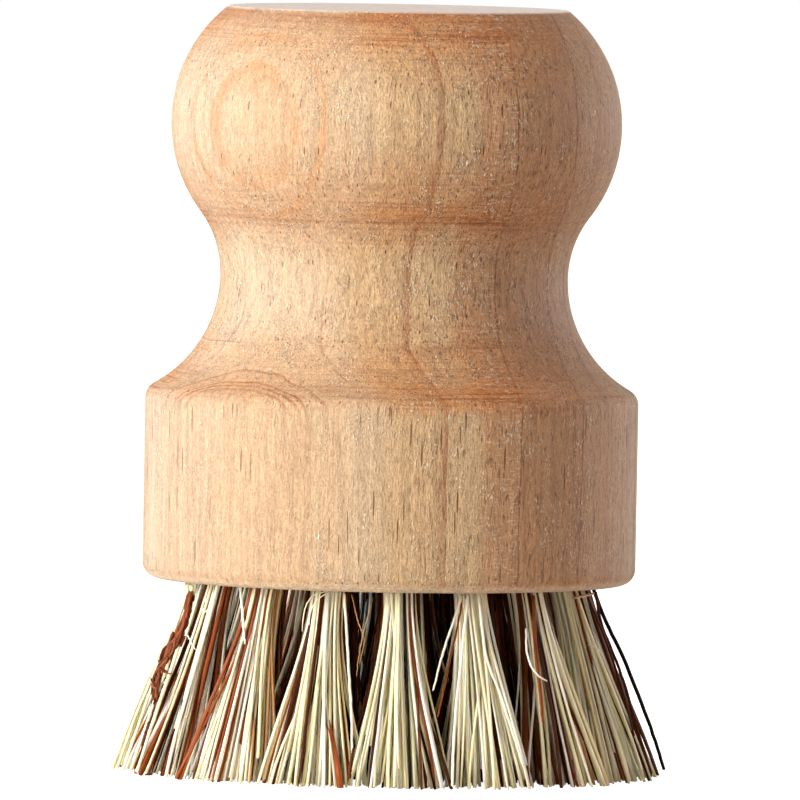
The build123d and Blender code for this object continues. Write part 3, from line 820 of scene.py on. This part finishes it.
def folded_tuft(name, place, size, palette, material, seed):
    """One tuft: fibres lie side by side in their hole, fold over the staple's crown and fan out. Each end is
    a cubic Bezier curve that reaches its own place in the fan and leaves the mouth along the hole. The fold
    is half an ellipse between the roots of the two ends."""
    tips, mouth, inwards = place
    outer = "outer" in name
    random = np.random.default_rng(seed)
    fullness, mix = TUFT_MIXES.get(name, COMMON_MIX if outer else INNER_MIX)
    count = int(size.fibres * fullness)
    flat = mouth * (1, 1, 0)
    distance = np.linalg.norm(flat)
    outwards = flat / distance if distance > 1 * MM else np.array([1.0, 0.0, 0.0])
    first = outwards - (outwards @ inwards) * inwards
    first /= np.linalg.norm(first)
    second = np.cross(inwards, first)
    sideways = np.cross((0.0, 0.0, 1.0), outwards)
    # Half disc of root places: golden angle spiral, folded to the outward side
    spiral = np.sqrt((np.arange(count) + 0.5) / count)
    angle = np.arange(count) * pi * (3 - sqrt(5)) + random.uniform(0, 2 * pi)
    disc = np.stack([np.abs(spiral * np.cos(angle)), spiral * np.sin(angle)], axis=1)
    kind = random.choice(len(mix), size=count, p=mix)
    roots, curves = [], []
    for way in (1.0, -1.0):
        spot = disc * (way, 1.0) + random.normal(0, ROOT_SCATTER, (count, 2))
        root = mouth + size.root_radius * ROOT_FILL * (spot[:, :1] * first + spot[:, 1:] * second)
        fan = spot * random.uniform(*TIP_SPREAD, (count, 1)) + random.normal(0, TIP_SCATTER, (count, 2))
        wander = random.random((count, 1)) < (OUTER_WANDERERS if outer else INNER_WANDERERS)
        fan = np.where(wander, random.uniform(-WANDER_REACH, WANDER_REACH, (count, 2)), fan)
        tip = tips + size.fan_radius * fan[:, :1] * outwards + size.fan_breadth * fan[:, 1:] * sideways
        reach = np.linalg.norm(tip[:, :2], axis=1, keepdims=True)
        tip[:, :2] *= np.minimum(1.0, SWEEP_RADIUS / np.maximum(reach, 1 * MM))
        # More than half of the tips are trimmed level
        tip[:, 2] = np.clip(random.normal(-0.3, 1.0, count) * size.ragged, 0, TALLEST_TIP)
        run = np.linalg.norm(tip - root, axis=1, keepdims=True)
        leave = root - inwards * run * random.uniform(*HOLE_HOLD, (count, 1))
        bow = random.normal(0, BOW, (count, 3)) * (1, 1, 0)
        arrive = tip + (root - tip) * TIP_HOLD + bow
        broken = random.random(count) < BROKEN_SHARE
        start = np.where(broken, random.uniform(*BROKEN_LOSS, count), 0.0)[:, None, None]
        along = start + (1 - start) * np.linspace(0, 1, END_STATIONS)[None, :, None]
        back = 1 - along
        curves.append(
            back**3 * tip[:, None] + 3 * back**2 * along * arrive[:, None]
            + 3 * back * along**2 * leave[:, None] + along**3 * root[:, None]
        )
        roots.append(root)
    # Fold: half an ellipse over the staple's crown, as far across as the two roots are on average
    from_mouth = np.array(roots) - mouth
    across = from_mouth @ second
    reach = np.linalg.norm(from_mouth - across[..., None] * second, axis=2).mean(axis=0)[:, None]
    fold = np.linspace(0, pi, FOLD_STATIONS)
    rise = size.crown_depth + np.minimum(reach, FOLD_RISE) * np.sin(fold)
    crown = mouth + (reach * np.cos(fold))[..., None] * first + across.mean(axis=0)[:, None, None] * second
    crown += rise[..., None] * inwards
    paths = np.concatenate([curves[0], crown, curves[1][:, ::-1]], axis=1)
    # Section: there are more thin fibres than thick ones, and each swells and twists along its run
    squeeze = 1 - ROOT_SQUEEZE * np.clip((paths[..., 2] - handle_low.z) / (2 * MM), 0, 1)
    low_width, high_width = np.array(KIND_WIDTHS).T
    low_depth, high_depth = np.array(KIND_DEPTHS).T
    width = (low_width[kind] + (high_width - low_width)[kind] * random.random(count) ** 1.5) * MM
    depth = (low_depth[kind] + (high_depth - low_depth)[kind] * random.random(count)) * MM
    depth = np.minimum(depth, width)
    station = np.linspace(0, 1, paths.shape[1])
    wave = station * random.uniform(6, 22, (count, 1)) + random.uniform(0, 6, (count, 1))
    swell = 1 + SWELL * np.sin(wave)
    widths = width[:, None] * swell * squeeze
    depths = depth[:, None] * (2 - swell) * squeeze
    twists = random.uniform(0, pi, (count, 1)) + random.normal(0, 0.5, (count, 1)) * (2 * station - 1)
    tone = 1 + np.array(KIND_TONES)[kind][:, None] * random.uniform(-0.95, 1.05, (count, 1))
    hue = 1 + random.uniform(-1, 1, (count, 3)) * (0.02, 0.03, 0.12)
    colours = np.clip(palette[kind] * tone * hue, 0.0, 0.97)
    slants = random.normal(0, 0.7, count)
    piece = fibre_piece(f"{name}_fibres", paths, widths, depths, twists, slants, colours, material)
    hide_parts(name)


def drills(size):
    """Drills for all the holes as one mesh: a capped cylinder down each hole, from below its mouth to its
    depth. A rim's corners are middle + radius (cos(a) first + sin(a) second), square to the hole."""
    turn = np.linspace(0, 2 * pi, DRILL_SIDES, endpoint=False)
    rims, faces = [], []
    for _, mouth, inwards in tuft_places().values():
        first = np.cross(inwards, (0.0, 1.0, 0.0))
        first /= np.linalg.norm(first)
        second = np.cross(inwards, first)
        rim = size.hole_radius * (np.cos(turn)[:, None] * first + np.sin(turn)[:, None] * second)
        low = DRILL_SIDES * len(rims) + np.arange(DRILL_SIDES)
        high = low + DRILL_SIDES
        rims += [mouth - DRILL_OVERRUN * inwards + rim, mouth + size.hole_depth * inwards + rim]
        faces += np.stack([low, np.roll(low, -1), np.roll(high, -1), high], axis=1).tolist()
        faces += [low[::-1].tolist(), high.tolist()]
    return np.concatenate(rims), faces


# Stage


# Half width of the floor, the place that the lamps are aimed at, and the width of the camera's sensor
FLOOR_REACH = 3.0
LAMP_AIM = Vector((0, 0, 45 * MM))
SENSOR_WIDTH = 36.0


def light(name, right, up, distance, breadth, watts, shade):
    """A soft round lamp, aimed at the middle of the brush. Its place is given in degrees right of the front
    and degrees up."""
    lamp = bpy.data.lights.new(name, "AREA")
    lamp.shape, lamp.size, lamp.energy, lamp.color = "DISK", breadth, watts, linear(shade)
    holder = bpy.data.objects.new(name, lamp)
    turn, rise = radians(right), radians(up)
    away = Vector((sin(turn) * cos(rise), -cos(turn) * cos(rise), sin(rise)))
    holder.location = LAMP_AIM + distance * away
    holder.rotation_euler = away.to_track_quat("Z", "Y").to_euler()
    bpy.context.scene.collection.objects.link(holder)


def white_sky(strength):
    """A white studio: full white to the camera and in reflections, warmer and dimmer as light."""
    world = bpy.data.worlds.new("white_studio")
    tree = emptied_tree(world)
    rays = add_node(tree, "LightPath")
    seen = rays.outputs["Is Camera Ray"]
    for ray in ("Is Glossy Ray", "Is Transmission Ray"):
        seen = add_node(tree, "Math", {0: seen, 1: rays.outputs[ray]}, operation="MAXIMUM")
    level = add_node(tree, "MapRange", {0: seen, 1: 0.0, 2: 1.0, 3: strength, 4: 1.0})
    shades = {0: seen, 6: (*linear("#ffe6cf"), 1), 7: (1, 1, 1, 1)}
    shade = add_node(tree, "Mix", shades, data_type="RGBA")
    sky = add_node(tree, "Background", {"Color": shade, "Strength": level})
    add_node(tree, "OutputWorld", {"Surface": sky})
    return world


def camera_in_front(look):
    """A camera level with the photograph's, in front of the brush and a little above it."""
    lens = bpy.data.cameras.new("camera")
    place = Vector((0, -look.camera_distance, look.camera_height))
    aim = Vector((look.aim_across, 0, look.aim_height))
    lens.sensor_width = SENSOR_WIDTH
    lens.lens = SENSOR_WIDTH * (aim - place).length / look.field_width
    lens.clip_end = 20.0
    camera = bpy.data.objects.new("camera", lens)
    turn = (place - aim).to_track_quat("Z", "Y").to_matrix() @ Matrix.Rotation(look.roll, 3, "Z")
    camera.matrix_world = Matrix.Translation(place) @ turn.to_4x4()
    bpy.context.scene.collection.objects.link(camera)
    return camera


# Operators, one for each piece or group of like pieces


class TurnHandle(bpy.types.Operator):
    """Turn the handle, drill it for the tufts and give it its bare wood"""

    bl_idname = "palm_brush.turn_handle"
    bl_label = "Turn the handle"

    def execute(self, context):
        size = context.scene.palm_brush.handle
        wood = turned_rubberwood(context.scene.palm_brush.wood)
        handle = mesh_object("turned_handle", *lathe(turned_outline(size), HANDLE_COLUMNS), wood)
        drill = mesh_object("drill", *drills(size), wood)
        cut = handle.modifiers.new("holes", "BOOLEAN")
        cut.operation, cut.solver, cut.object = "DIFFERENCE", "EXACT", drill
        shaped = bpy.data.meshes.new_from_object(handle.evaluated_get(context.evaluated_depsgraph_get()))
        handle.modifiers.clear()
        handle.data = shaped
        bpy.data.objects.remove(drill)
        shaped.set_sharp_from_angle(angle=radians(SHARP_DEGREES))
        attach(handle, "root")
        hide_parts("handle")
        return {"FINISHED"}


class TieTufts(bpy.types.Operator):
    """Make every tuft of folded union fibre in its own hole"""

    bl_idname = "palm_brush.tie_tufts"
    bl_label = "Tie the tufts"

    def execute(self, context):
        settings = context.scene.palm_brush
        palette, material = fibre_palette(settings.fibre), union_fibre()
        for number, (name, place) in enumerate(tuft_places().items()):
            folded_tuft(name, place, settings.tufts, palette, material, settings.tufts.seed + number)
        return {"FINISHED"}


class AddStrays(bpy.types.Operator):
    """Add the loose fibres, bark and curled wisps that stand out of the tufts"""

    bl_idname = "palm_brush.add_strays"
    bl_label = "Add the strays"

    def execute(self, context):
        settings = context.scene.palm_brush
        random = np.random.default_rng(settings.tufts.seed + STRAY_SEED)
        kinds, widths, depths, rough, tapers, lines = (list(column) for column in zip(*STRAYS))
        along = np.linspace(0, 1, STRAY_STATIONS)
        paths = [curve_through(line, STRAY_STATIONS) for line in lines]
        # Wrinkled strands twist over the bark: path + swing sin(turns s + start) across + lift outwards
        for strip in BARK_STRIPS:
            flat = paths[strip] * (1, 1, 0)
            outwards = flat / np.linalg.norm(flat, axis=1, keepdims=True)
            across = np.cross(np.gradient(paths[strip], axis=0), outwards)
            across /= np.linalg.norm(across, axis=1, keepdims=True)
            for kind in BARK_STRANDS:
                wave = along * random.uniform(5, 11) + random.uniform(0, 6)
                swing = STRAND_SWING * widths[strip] * MM * np.sin(wave)
                lift = random.uniform(0.15, 0.45) * MM
                paths.append(paths[strip] + swing[:, None] * across + lift * outwards)
                kinds.append(kind)
                widths.append(random.uniform(0.18, 0.32))
                depths.append(0.14)
                rough.append(0.35)
                tapers.append(0.5)
        paths = np.array(paths)
        paths[..., :2] += random.normal(0, STRAY_JITTER, paths[..., :2].shape)
        count = len(paths)
        ragged = 1 + np.array(rough)[:, None] * random.uniform(-1, 1, (count, STRAY_STATIONS))
        taper = 1 - np.array(tapers)[:, None] * along**4
        widths = np.array(widths)[:, None] * MM * ragged * taper
        depths = np.array(depths)[:, None] * MM * taper
        twists = np.zeros((count, STRAY_STATIONS))
        colours = fibre_palette(settings.fibre)[kinds] * random.uniform(0.9, 1.08, (count, 1))
        slants = random.normal(0, 0.5, count)
        material = bpy.data.materials["union_fibre_mix"]
        fibre_piece("stray_fibres", paths, widths, depths, twists, slants, colours, material)
        return {"FINISHED"}


class FinishStaples(bpy.types.Operator):
    """Give the wire staples their metal"""

    bl_idname = "palm_brush.finish_staples"
    bl_label = "Finish the staples"

    def execute(self, context):
        wire = staple_wire()
        for name in STAPLE_NODES:
            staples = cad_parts[name]
            staples.data.materials.clear()
            staples.data.materials.append(wire)
        return {"FINISHED"}


class SetStage(bpy.types.Operator):
    """Set the floor, the lamps, the sky and the camera"""

    bl_idname = "palm_brush.set_stage"
    bl_label = "Set the stage"

    def execute(self, context):
        scene = context.scene
        look = scene.palm_brush.stage
        corners = [(-FLOOR_REACH, -FLOOR_REACH, 0), (FLOOR_REACH, -FLOOR_REACH, 0)]
        corners += [(FLOOR_REACH, FLOOR_REACH, 0), (-FLOOR_REACH, FLOOR_REACH, 0)]
        mesh_object("paper_floor", corners, [(0, 1, 2, 3)], pale_floor())
        light("key", -55, 14, 0.8, 0.45, look.key_power, "#fff8ee")
        light("rim", 124, 4, 0.8, 0.4, look.rim_power, "#e8eeff")
        light("edge", -112, 8, 0.8, 0.4, look.edge_power, "#b8daff")
        light("top", -20, 78, 0.9, 0.5, look.top_power, "#fff8ee")
        scene.world = white_sky(look.sky_strength)
        scene.camera = camera_in_front(look)
        scene.view_settings.view_transform = "Standard"
        return {"FINISHED"}


class PalmBrushPanel(bpy.types.Panel):
    """Operators and settings of the palm brush"""

    bl_idname = "VIEW3D_PT_palm_brush"
    bl_label = "Palm Brush"
    bl_space_type = "VIEW_3D"
    bl_region_type = "UI"
    bl_category = "Palm Brush"

    def draw(self, context):
        for operator in OPERATORS:
            self.layout.operator(operator.bl_idname)
        for group in ("handle", "tufts", "wood", "fibre", "stage"):
            settings = getattr(context.scene.palm_brush, group)
            box = self.layout.box()
            box.label(text=group.capitalize())
            for name in settings.bl_rna.properties.keys():
                if name not in ("rna_type", "name"):
                    box.prop(settings, name)


OPERATORS = (TurnHandle, TieTufts, AddStrays, FinishStaples, SetStage)
CLASSES = (HandleSizes, TuftSizes, WoodLook, FibreLook, StageLook, BrushSettings, *OPERATORS, PalmBrushPanel)


def register():
    for entry in CLASSES:
        bpy.utils.register_class(entry)
    bpy.types.Scene.palm_brush = PointerProperty(type=BrushSettings)


def unregister():
    del bpy.types.Scene.palm_brush
    for entry in reversed(CLASSES):
        bpy.utils.unregister_class(entry)


def main():
    """Registers the add-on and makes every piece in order."""
    register()
    bpy.ops.palm_brush.turn_handle()
    bpy.ops.palm_brush.tie_tufts()
    bpy.ops.palm_brush.add_strays()
    bpy.ops.palm_brush.finish_staples()
    bpy.ops.palm_brush.set_stage()


if __name__ == "__main__":
    main()
